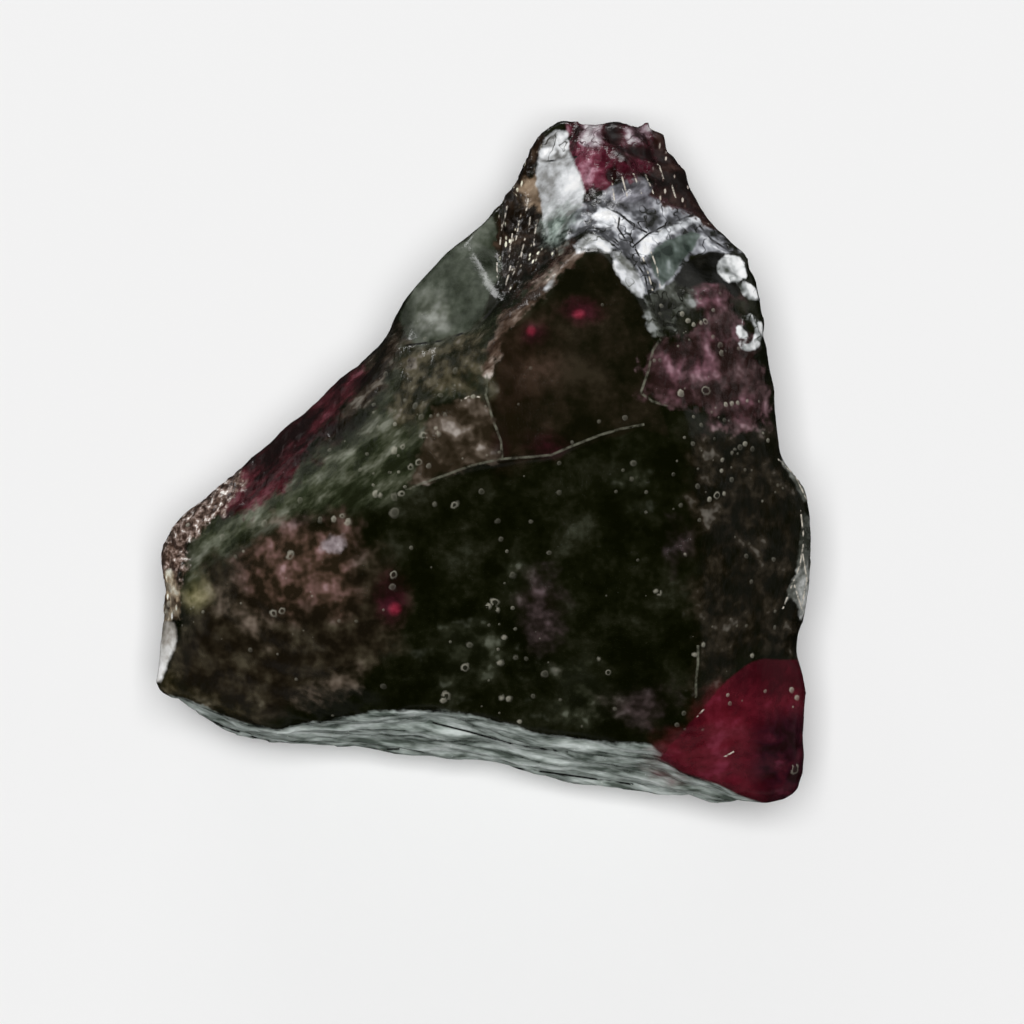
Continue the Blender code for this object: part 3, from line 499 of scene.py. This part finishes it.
class PAINITE_OT_stone(bpy.types.Operator):
    """Grows the fine skin over the solid, carves its relief, marks its patches and gives it its finish"""

    bl_idname = "painite.stone"
    bl_label = "Stone"

    def execute(self, context):
        sizes = context.scene.painite_sizes
        stone = self.skin_over_solid(context, sizes)
        points, normals = self.survey(stone.data.vertices, "co", stone.data.vertex_normals, "vector")
        seen = drawing_place(points)
        depths = {patch.name: depth_inside(seen, patch) for patch in PATCHES}
        self.mark_patches(stone, points, normals, depths)
        self.carve(stone, sizes, points, normals, seen, depths)
        self.mark_lines_and_bubbles(stone)
        bpy.ops.object.mode_set(mode="EDIT")
        bpy.ops.mesh.select_all(action="SELECT")
        bpy.ops.transform.resize(value=(MM, MM, MM), center_override=(0, 0, 0))
        bpy.ops.object.mode_set(mode="OBJECT")
        bpy.ops.object.shade_smooth()
        stone.data.materials.clear()
        stone.data.materials.append(glassy_mineral(context.scene.painite_colours))
        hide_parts(NODE)
        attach(stone, "root")
        return {"FINISHED"}

    def skin_over_solid(self, context, sizes):
        """A copy of the solid, merged, enlarged to mm for the work, and covered with an even fine skin."""
        bpy.ops.object.select_all(action="DESELECT")
        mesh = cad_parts[NODE].data.copy()
        mesh.name = "painite_stone"
        stone = bpy.data.objects.new("painite_stone", mesh)
        context.scene.collection.objects.link(stone)
        stone.select_set(True)
        context.view_layer.objects.active = stone
        bpy.ops.object.mode_set(mode="EDIT")
        bpy.ops.mesh.select_all(action="SELECT")
        bpy.ops.mesh.remove_doubles(threshold=1e-7)
        bpy.ops.transform.resize(value=(1 / MM, 1 / MM, 1 / MM), center_override=(0, 0, 0))
        bpy.ops.object.mode_set(mode="OBJECT")
        for kind, settings in (
            ("REMESH", {"mode": "VOXEL", "voxel_size": sizes.skin}),
            ("SMOOTH", {"factor": 0.5, "iterations": 4}),
        ):
            modifier = stone.modifiers.new(kind.title(), kind)
            for name, value in settings.items():
                setattr(modifier, name, value)
            bpy.ops.object.modifier_apply(modifier=modifier.name)
        return stone

    def survey(self, places, place, directions, direction):
        """Places and directions of a mesh's points or faces."""
        points, normals = np.empty(len(places) * 3), np.empty(len(places) * 3)
        places.foreach_get(place, points)
        directions.foreach_get(direction, normals)
        return points.reshape(-1, 3), normals.reshape(-1, 3)

    def keep(self, stone, name, values, domain):
        """Keeps three values at each point or face of the stone."""
        layer = stone.data.attributes.new(name, "FLOAT_VECTOR", domain)
        layer.data.foreach_set("vector", values.astype(np.float32).ravel())

    def blended(self, normals, depths, values, base):
        """A value of each patch, laid over one another. Each fades in over its patch's soft edge, and stays
        off skin that faces down."""
        total = np.full(len(normals), base)
        for patch, value in zip(PATCHES, values):
            here = np.clip(depths[patch.name] / max(0.1, patch.soft) + 0.5, 0, 1)
            if not patch.through:
                here = here * (normals[:, 2] > -0.1)
            total = total * (1 - here) + value * here
        return total

    def carve(self, stone, sizes, points, normals, seen, depths):
        """Moves each point along its normal by the fine relief of the face that it lies on."""
        grainy = self.blended(normals, depths, [patch.grain for patch in PATCHES], PLAIN_GRAIN)
        # The fibres fade in over 0.1 mm, where the flank faces the front.
        flank = np.clip(depths["lower_flank"] / 0.1, 0, 1) * (normals[:, 1] < -0.3)
        resting = points[:, 2] < RESTING_BELOW
        crack = away_from_lines(seen, DARK_LINES)
        edge = away_from_lines(seen, PALE_LINES + GLINTS)
        lift = EDGE_RISE * np.exp(-((edge / EDGE_WIDTH) ** 2))
        lift = (lift - CRACK_DEPTH * np.exp(-((crack / CRACK_WIDTH) ** 2))) * (normals[:, 2] > 0)
        noise.seed_set(FACET_SEED)
        for i in range(len(points)):
            if resting[i]:
                continue
            p = Vector(points[i])
            # Chips 0.5 mm apart, then facets 0.55 mm and grains 0.24 mm across, then fibres 1.9 by 0.5 mm.
            height = sizes.chips * noise.fractal(p / 0.5, 0.9, 2.1, 3)
            if grainy[i] > GRAINS_FROM:
                height += sizes.grains * grainy[i] * (facets(p, 0.55, 5) + 0.6 * cells(p, 0.24, 9))
            if flank[i] > 0:
                place = Vector((p.x / 1.9, p.y / 1.9, (p.z + 0.12 * p.x) / 0.5))
                height += sizes.grooves * flank[i] * noise.fractal(place, 0.8, 2.0, 3)
            lift[i] += height
        lift[resting] = 0
        stone.data.vertices.foreach_set("co", (points + normals * lift[:, None]).ravel())
        stone.data.update()

    def mark_patches(self, stone, points, normals, depths):
        """Keeps how far inside each patch each point is, and its finish, three values to an attribute."""
        x, y, height = points.T
        # An uneven wave about 3 mm long, so that patches don't end on a level line.
        wave = np.sin(1.7 * x + 2 * np.sin(0.9 * y)) + np.sin(2.3 * y + x)
        low = np.clip((FADE_HEIGHT + FADE_WAVE * wave - height) / FADE_DEPTH, 0, 1)
        # They also fade where the skin faces down, from 3 degrees to 17.
        under = np.maximum(low, np.clip(-normals[:, 2] * 4 - 0.2, 0, 1))
        marks = []
        for patch in PATCHES:
            # 1 mm deep is well inside, and taking 2 mm off puts it well outside.
            depth = np.clip(depths[patch.name], -1, 1)
            marks.append(depth if patch.through else depth - 2 * under)
        marks.append(self.blended(normals, depths, [patch.rough for patch in PATCHES], PLAIN_ROUGH))
        marks.append(self.blended(normals, depths, [patch.grain for patch in PATCHES], PLAIN_GRAIN))
        marks += [under] * (-len(marks) % 3)
        for first in range(0, len(marks), 3):
            self.keep(stone, f"marks_{first // 3}", np.stack(marks[first:first + 3], axis=1), "POINT")

    def mark_lines_and_bubbles(self, stone):
        """Keeps, on each face, the line that passes it and the nearest bubble."""
        middles, normals = self.survey(stone.data.polygons, "center", stone.data.polygons, "normal")
        seen = drawing_place(middles)
        for name, lines in (("edge_line", PALE_LINES), ("glint_line", GLINTS), ("crack_line", DARK_LINES)):
            found = nearest_line(seen, middles[:, 2], lines)
            found[normals[:, 2] < 0] = (0, 0, 1)
            self.keep(stone, name, found, "FACE")
        nearest = np.full(len(middles), 1e9)
        bubble_glint, kinds = np.zeros_like(middles), np.ones_like(middles)
        for middle, kind in self.bubbles(middles, normals, seen):
            away = np.linalg.norm(middles - middle, axis=1)
            closer = away < nearest
            nearest[closer], bubble_glint[closer], kinds[closer] = away[closer], middle, kind
        self.keep(stone, "bubble_middle", bubble_glint * MM, "FACE")
        self.keep(stone, "bubble_kind", kinds, "FACE")

    def bubbles(self, middles, normals, seen):
        """Middle of each bubble in mm, with its radius in mm, how brightly its painted highlight shows and how
        hollow it is.
        """
        draw = np.random.RandomState(SPECK_SEED)
        placed = [(x, y, radius, *BUBBLE_KINDS[kind]) for kind in BUBBLES for x, y, radius in BUBBLES[kind]]
        for x, y, spread, count in CROWDS:
            for _ in range(count):
                at = draw.normal((x, y), spread)
                placed.append((*at, draw.uniform(*CROWD_RADII), *draw.uniform(*CROWD_LOOKS, 2)))
        # A bubble of the drawing lies on the nearest face that looks up well.
        upward = np.flatnonzero(normals[:, 2] > 0.3)
        found = []
        for x, y, radius, shine, hollow in placed:
            face = upward[np.argmin(np.hypot(seen[upward, 0] - x, seen[upward, 1] - y))]
            height = middles[face, 2]
            found.append(((*on_drawing(x, y, height), height), (radius * BUBBLE_SCALE * STEP, shine, hollow)))
        for face in draw.choice(len(middles), STRAY_SPECKS):
            found.append((tuple(middles[face]), (draw.uniform(*STRAY_RADII), *draw.uniform(*STRAY_LOOKS, 2))))
        return found


def glassy_mineral(colours):
    """Painite, a dense borate mineral, as broken: vitreous, almost opaque, dark olive to crimson, with fresh
    chips, cracks and grains that scatter white. Its pale facets, chips, bubbles and edges also carry painted
    reflections, highlights and glints, its small red spots a painted glow, and a few places painted shade. Its
    index of refraction is 1.79 to 1.82."""
    material = bpy.data.materials.new("rough_painite_broken_vitreous")
    material.use_nodes = True
    tree = material.node_tree
    surface = tree.nodes["Principled BSDF"]
    place = add(tree, "TexCoord", take="Object")
    marks = {}
    names = [patch.name for patch in PATCHES] + ["roughness", "grain"]
    # Read as colours, because a vector would be converted late and hold up all the patches after it.
    for first in range(0, len(names), 3):
        three = add(tree, "Attribute", take="Color", attribute_name=f"marks_{first // 3}")
        marks.update(zip(names[first:first + 3], add(tree, "SeparateXYZ", (three,)).node.outputs))
    kept = {
        name: add(tree, "Attribute", take="Vector", attribute_name=name)
        for name in ("edge_line", "glint_line", "crack_line", "bubble_middle", "bubble_kind")
    }

    # Even patterns, by their real size in mm: clouds, mottling and grit.
    cloud, mottle, grit = (
        add(tree, "TexNoise", {"Vector": place, "Scale": 1 / (size * MM), "Detail": detail, "Roughness": 0.6})
        for size, detail in ((1.1, 3), (0.42, 2), (0.15, 2))
    )

    # Streaks, by their real length, width and depth in mm: fibres along the lower flank, and the
    # brushed look of the green band, which climbs to the right.
    fibre, brushed = (
        add(tree, "TexNoise", {
            "Vector": add(tree, "Mapping", {
                "Vector": place,
                "Rotation": (0, 0, math.radians(turn)),
                "Scale": [side * MM for side in streak],
            }, vector_type="TEXTURE"),
            "Scale": 1.0, "Detail": 3, "Roughness": 0.6,
        })
        for turn, streak in ((-9, (0.95, 0.3, 0.45)), (38, (0.8, 0.32, 0.6)))
    )

    # Fine cracks about 0.5 mm apart, where a rough field passes its middle and the clouds are light.
    cracks = add(tree, "TexNoise", {"Vector": place, "Scale": 1 / (0.5 * MM), "Detail": 2, "Roughness": 0.5})
    cracks = add(tree, "Math", (cracks, 0.5), operation="SUBTRACT")
    cracks = add(tree, "Math", (cracks,), operation="ABSOLUTE")
    cracks = add(tree, "MapRange", (cracks, 0.018, 0.003, 0.0, 1.0), **SMOOTH)
    shown = add(tree, "MapRange", (cloud, 0.4, 0.56, 0.0, 1.0), **SMOOTH)
    cracks = add(tree, "Math", (cracks, shown), operation="MULTIPLY")

    # Grains 0.08 by 0.24 mm, of which a few get a painted glint.
    slim = add(
        tree, "Mapping",
        {"Vector": place, "Rotation": (0, 0, math.radians(-8)), "Scale": (0.08 * MM, 0.24 * MM, 0.16 * MM)},
        vector_type="TEXTURE",
    )
    grains = add(tree, "TexVoronoi", {"Vector": slim, "Scale": 1.0}).node.outputs
    lit = add(tree, "SeparateColor", (grains["Color"],))
    lit = add(tree, "MapRange", (lit, 0.62, 0.95, 0.0, 1.0), **SMOOTH)
    spark = add(tree, "MapRange", (grains["Distance"], 0.5, 0.15, 0.0, 1.0), **SMOOTH)
    spark = add(tree, "Math", (lit, spark), operation="MULTIPLY")

    # Each pattern with the values at which a patch's four tones lie. The spark pattern lays a patch's brightest
    # tone on its painted glints.
    gritty = add(tree, "Math", (cloud, 0.8), operation="MULTIPLY")
    gritty = add(tree, "Math", (grit, 0.2, gritty), operation="MULTIPLY_ADD")
    sparkling = add(tree, "Math", (spark, 0.5, mottle), operation="MULTIPLY_ADD")
    crackled = add(tree, "Math", (cracks, -0.2, mottle), operation="MULTIPLY_ADD")
    patterns = {
        "cloud": (gritty, (0.41, 0.5, 0.58, 0.68)),
        "mottle": (mottle, (0.39, 0.5, 0.62, 0.74)),
        "grit": (grit, (0.4, 0.5, 0.6, 0.68)),
        "spark": (sparkling, (0.42, 0.56, 0.74, 0.95)),
        "crackle": (crackled, (0.34, 0.46, 0.56, 0.66)),
        "fibre": (fibre, (0.38, 0.47, 0.55, 0.64)),
        "brushed": (brushed, (0.39, 0.49, 0.59, 0.7)),
    }

    # How far each kind of edge strays, about 0: fine for a crisp patch, broad for a soft one. Each noise has
    # its middle at 0.5, so 0.7 comes off, and swings by about 0.25, so it is taken four times below.
    stray = {}
    for name, wide, narrow in (("fine", mottle, grit), ("broad", cloud, mottle)):
        mixed = add(tree, "Math", (narrow, 0.4, wide), operation="MULTIPLY_ADD")
        stray[name] = add(tree, "Math", (mixed, 0.7), operation="SUBTRACT")

    # The body, and then the patches, each mixed over what is there. A Mix node takes how much at its input 0
    # and the two colours at 6 and 7.
    colour = None
    body = (colours.deep, colours.body, colours.haze, colours.mist)
    layers = [(None, "cloud", [tuple(tone) for tone in body])]
    layers += [(patch, patch.pattern, [to_linear(tone) for tone in patch.tones.split()]) for patch in PATCHES]
    for patch, pattern, tones in layers:
        value, positions = patterns[pattern]
        tinted = add(tree, "ValToRGB", (value,))
        stops = tinted.node.color_ramp.elements
        stops.new(0.3)
        stops.new(0.6)
        for stop, position, tone in zip(stops, positions, tones):
            stop.position = position
            stop.color = tone
        if patch is None:
            colour = tinted
            continue
        edge = (stray["broad" if patch.soft >= 0.3 else "fine"], 4 * patch.ragged, marks[patch.name])
        edge = add(tree, "Math", edge, operation="MULTIPLY_ADD")
        here = add(tree, "MapRange", (edge, -patch.soft, patch.soft, 0.0, 1.0), **SMOOTH)
        colour = add(tree, "Mix", {0: here, 6: colour, 7: tinted}, take=2, data_type="RGBA")

    # Lines, by their half width in mm. Each fades out where its texture is low, between its two gap values.
    flat = add(tree, "VectorMath", (place, (1 / MM, 1 / MM, 0)), operation="MULTIPLY")
    flat = add(tree, "VectorMath", (flat, (0, 0, 1)), operation="ADD")
    for name, width, tone, texture, gaps in (
        ("edge_line", 0.04, colours.edge, grit, (0.25, 0.75)),
        ("crack_line", 0.035, colours.crack, mottle, (0.4, 0.55)),
        ("glint_line", 0.024, colours.glint, grit, (0.42, 0.58)),
    ):
        line = add(tree, "VectorMath", (kept[name], flat), take="Value", operation="DOT_PRODUCT")
        line = add(tree, "Math", (line,), operation="ABSOLUTE")
        line = add(tree, "MapRange", (line, width, width * 0.2, 0.0, 1.0), **SMOOTH)
        broken = add(tree, "MapRange", (texture, *gaps, 0.0, 1.0), **SMOOTH)
        line = add(tree, "Math", (line, broken), operation="MULTIPLY")
        colour = add(tree, "Mix", {0: line, 6: colour, 7: tuple(tone)}, take=2, data_type="RGBA")

    # Bubbles, drawn as painted highlights on their rims, out of round and painted lightest towards the upper
    # left as if lit from there: soft discs, or rings where they are hollow. What follows is in radii from the
    # middle.
    radius, shine, hollow = add(tree, "SeparateXYZ", (kept["bubble_kind"],)).node.outputs
    radius = add(tree, "Math", (radius, MM), operation="MULTIPLY")
    offset = add(tree, "VectorMath", (place, kept["bubble_middle"]), operation="SUBTRACT")
    away = add(tree, "VectorMath", (offset,), take="Value", operation="LENGTH")
    away = add(tree, "Math", (away, radius), operation="DIVIDE")
    away = add(tree, "Math", (stray["fine"], 2.6, away), operation="MULTIPLY_ADD")
    lit = add(tree, "VectorMath", (offset, (-0.7, 0.7, 0.0)), take="Value", operation="DOT_PRODUCT")
    lit = add(tree, "Math", (lit, radius), operation="DIVIDE")
    lit = add(tree, "MapRange", (lit, -0.6, 0.7, 0.35, 1.1))
    disc = add(tree, "MapRange", (away, 1.1, 0.4, 0.0, 1.0), **SMOOTH)
    core = add(tree, "MapRange", (away, 0.6, 0.25, 0.0, 1.0), **SMOOTH)
    core = add(tree, "Math", (core, hollow), operation="MULTIPLY")
    core = add(tree, "Math", (1.0, core), operation="SUBTRACT")
    for part in (lit, core, shine):
        disc = add(tree, "Math", (disc, part), operation="MULTIPLY")
    over = {0: disc, 6: colour, 7: tuple(colours.bubble_glint)}
    colour = add(tree, "Mix", over, take=2, data_type="RGBA")

    # Relief too fine for the skin, in mm, and grains that each face their own way and glint on their own.
    height = add(tree, "Math", (marks["grain"], 0.05, 0.005), operation="MULTIPLY_ADD")
    height = add(tree, "Math", (grit, height), operation="MULTIPLY")
    bump = add(tree, "Bump", {"Height": height, "Strength": 1.0, "Distance": MM})
    askew = add(tree, "VectorMath", (grains["Color"], (0.5, 0.5, 0.5)), operation="SUBTRACT")
    askew = add(tree, "VectorMath", {0: askew, "Scale": marks["grain"]}, operation="SCALE")
    normal = add(tree, "VectorMath", (bump, askew), operation="ADD")
    normal = add(tree, "VectorMath", (normal,), operation="NORMALIZE")
    # The grit adds up to 0.12 and 0.05 comes off, so the roughness varies about that of the patch.
    rough = add(tree, "Math", (marks["roughness"], 0.05), operation="SUBTRACT")
    rough = add(tree, "Math", (grit, 0.12, rough), operation="MULTIPLY_ADD", use_clamp=True)

    for name, value in (("Base Color", colour), ("Roughness", rough), ("Normal", normal)):
        tree.links.new(value, surface.inputs[name])
    surface.inputs["IOR"].default_value = 1.8
    return material


class PAINITE_OT_stage(bpy.types.Operator):
    """Lays the pale floor, and sets the studio light and the camera straight above"""

    bl_idname = "painite.stage"
    bl_label = "Stage"

    def execute(self, context):
        bpy.ops.object.select_all(action="DESELECT")
        bpy.ops.mesh.primitive_plane_add(size=1.6, location=(0, 0, 0))
        floor = context.active_object
        floor.name = "floor"
        floor.data.materials.append(self.white_board())
        # The floor and the overhead light are left out of reflections, so that the stone mirrors a dark room.
        floor.visible_glossy = False
        self.light(context, "overhead_fill", 0, 88, 1.0, (0.35, 0.35), 9.8).visible_glossy = False
        self.light(context, "back_softbox", 8, 12, 0.25, (0.14, 0.05), 0.09)
        self.surroundings(context)
        self.camera(context)
        return {"FINISHED"}

    def white_board(self):
        """Matt white card, with hardly any shine of its own."""
        card = bpy.data.materials.new("matt_white_board")
        card.use_nodes = True
        surface = card.node_tree.nodes["Principled BSDF"]
        white = to_linear("#f2f2f2")
        for name, value in (("Base Color", white), ("Roughness", 0.9), ("Specular IOR Level", 0.1)):
            surface.inputs[name].default_value = value
        return card

    def light(self, context, name, turn, up, away, size, power):
        """A soft rectangle facing the stone, from turn degrees past +Y towards -X and up degrees above level,
        with its distance and size in metres and its power in watts."""
        data = bpy.data.lights.new(name, "AREA")
        data.shape = "RECTANGLE"
        data.size, data.size_y = size
        data.energy = power
        lamp = bpy.data.objects.new(name, data)
        turn, up = math.radians(turn), math.radians(up)
        direction = Vector((-math.sin(turn) * math.cos(up), math.cos(turn) * math.cos(up), math.sin(up)))
        lamp.location = Vector((0, 0, 0.004)) + direction * away
        lamp.rotation_euler = direction.to_track_quat("Z", "Y").to_euler()
        lamp.visible_camera = False
        context.scene.collection.objects.link(lamp)
        return lamp

    def surroundings(self, context):
        """A studio that is bright low down behind the stone and dark overhead, where the lens is."""
        world = bpy.data.worlds.new("studio")
        world.use_nodes = True
        context.scene.world = world
        tree = world.node_tree
        towards = add(tree, "TexCoord", take="Generated")
        towards = add(tree, "SeparateXYZ", (towards,)).node.outputs
        # By the direction's part upwards and its part to the back, each from -1 to 1.
        low = add(tree, "MapRange", (towards["Z"], 0.25, 0.65, 1.0, 0.05), **SMOOTH)
        above = add(tree, "MapRange", (towards["Z"], -0.05, 0.1, 0.15, 1.0), **SMOOTH)
        behind = add(tree, "MapRange", (towards["Y"], -0.1, 0.8, 0.05, 0.22), **SMOOTH)
        level = add(tree, "Math", (low, behind), operation="MULTIPLY")
        level = add(tree, "Math", (level, above), operation="MULTIPLY")
        tree.links.new(level, tree.nodes["Background"].inputs["Strength"])
        tree.nodes["Background"].inputs["Color"].default_value = (1, 1, 1, 1)

    def camera(self, context):
        """A lens straight above, which sees the whole drawing."""
        data = bpy.data.cameras.new("camera")
        data.sensor_width = 36
        data.lens = data.sensor_width * (LENS_UP - DRAWN_HEIGHT) / (2 * DRAWING_HALF * STEP)
        data.clip_start, data.clip_end = 0.005, 10
        camera = bpy.data.objects.new("camera", data)
        camera.location = (DRAWING_MIDDLE[0] * MM, DRAWING_MIDDLE[1] * MM, LENS_UP * MM)
        context.scene.collection.objects.link(camera)
        context.scene.camera = camera
        context.scene.view_settings.view_transform = "Standard"


class PAINITE_PT_panel(bpy.types.Panel):
    """Sizes, colours and steps of the rough painite"""

    bl_label = "Rough painite"
    bl_space_type = "VIEW_3D"
    bl_region_type = "UI"
    bl_category = "Painite"

    def draw(self, context):
        for group in (context.scene.painite_sizes, context.scene.painite_colours):
            for name in group.__annotations__:
                self.layout.prop(group, name)
        for operator in STEPS:
            self.layout.operator(operator.bl_idname)


STEPS = (PAINITE_OT_stone, PAINITE_OT_stage)
CLASSES = (PainiteSizes, PainiteColours, *STEPS, PAINITE_PT_panel)


def register():
    for cls in CLASSES:
        bpy.utils.register_class(cls)
    bpy.types.Scene.painite_sizes = bpy.props.PointerProperty(type=PainiteSizes)
    bpy.types.Scene.painite_colours = bpy.props.PointerProperty(type=PainiteColours)


def unregister():
    del bpy.types.Scene.painite_sizes
    del bpy.types.Scene.painite_colours
    for cls in reversed(CLASSES):
        bpy.utils.unregister_class(cls)


def main():
    register()
    bpy.ops.painite.stone()
    bpy.ops.painite.stage()


if __name__ == "__main__":
    main()
